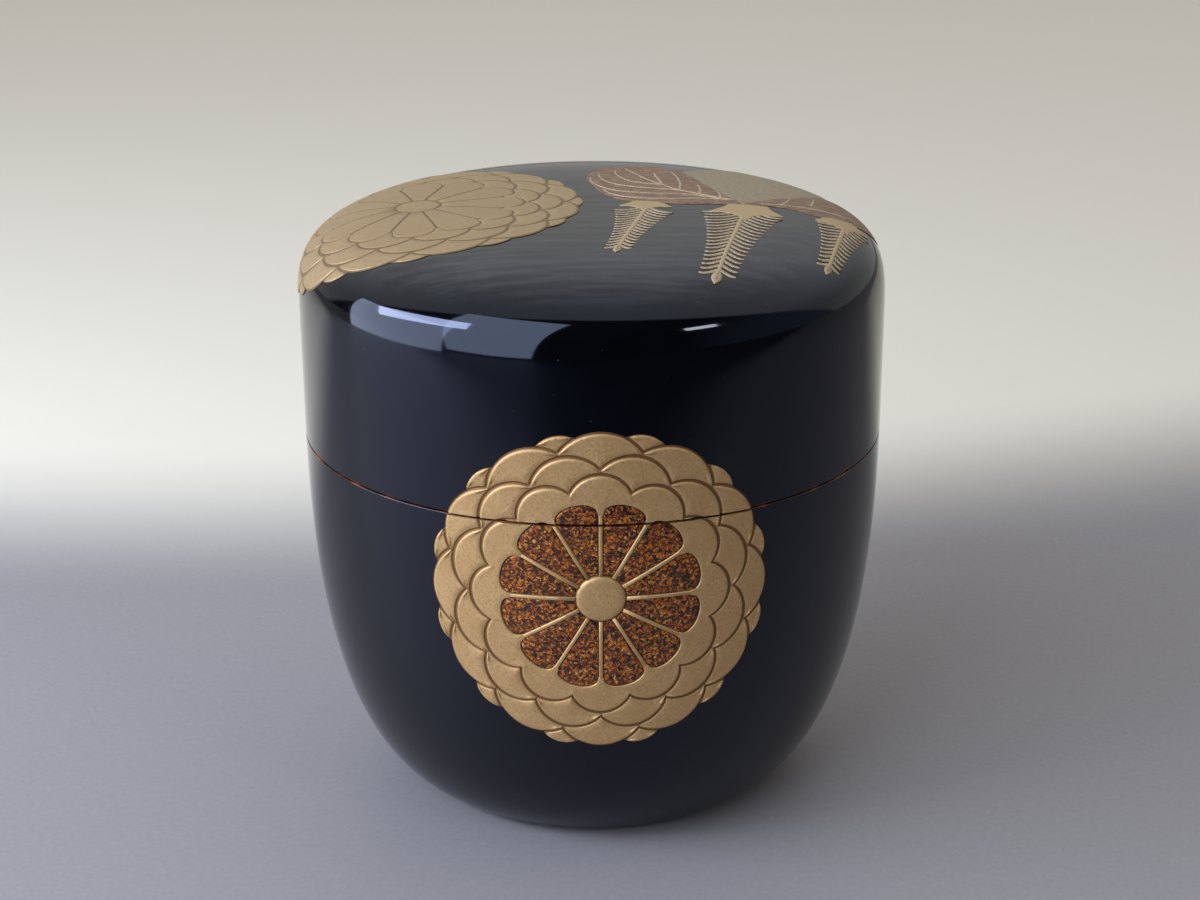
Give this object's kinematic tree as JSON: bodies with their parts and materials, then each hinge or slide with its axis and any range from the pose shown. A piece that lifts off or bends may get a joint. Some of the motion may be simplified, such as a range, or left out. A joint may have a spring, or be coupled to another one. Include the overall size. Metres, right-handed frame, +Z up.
{
  "type": "natsume tea caddy",
  "caption": "Rounded black lacquer tea caddy with a lift-off lid on an inner collar and raised gold chrysanthemum and paulownia relief.",
  "frame": {"origin": "centre of the foot, on the surface the caddy stands on", "axes": "+Z up along the turning axis, -Y towards the front with the round chrysanthemum, +X to the viewer's right"},
  "size_m": [0.0746, 0.0746, 0.0764],
  "materials": {
    "black_lacquer": "gloss",
    "raised_gold": "satin",
    "gold_flake_lacquer": "gloss",
    "red_bronze_lacquer": "satin",
    "aged_gold": "satin",
    "pale_gold_line": "satin"
  },
  "bodies": {
    "body": {"body": "black_lacquer", "roundel_gold_body": "raised_gold", "roundel_petal_01": "gold_flake_lacquer", "roundel_petal_02": "gold_flake_lacquer", "roundel_petal_03": "gold_flake_lacquer", "roundel_petal_04": "gold_flake_lacquer", "roundel_petal_05": "gold_flake_lacquer", "roundel_petal_06": "gold_flake_lacquer", "roundel_petal_07": "gold_flake_lacquer", "roundel_petal_08": "gold_flake_lacquer", "roundel_petal_09": "gold_flake_lacquer", "roundel_petal_10": "gold_flake_lacquer", "roundel_petal_11": "gold_flake_lacquer", "roundel_petal_12": "gold_flake_lacquer"},
    "lid": {"lid": "black_lacquer", "roundel_gold_lid": "raised_gold", "roundel_petal_tip_right": "gold_flake_lacquer", "roundel_petal_tip_left": "gold_flake_lacquer", "lid_chrysanthemum": "raised_gold", "paulownia_leaf_left": "red_bronze_lacquer", "paulownia_leaf_right": "red_bronze_lacquer", "paulownia_leaf_centre": "aged_gold", "paulownia_veins_left": "pale_gold_line", "paulownia_veins_right": "pale_gold_line", "paulownia_flowers_left": "pale_gold_line", "paulownia_flowers_centre": "pale_gold_line", "paulownia_flowers_right": "pale_gold_line"}
  },
  "joints": [
    {"name": "lid_lift", "type": "slide", "parent": "body", "child": "lid", "axis": [0, 0, 1], "range_m": [0, 0.06]}
  ]
}
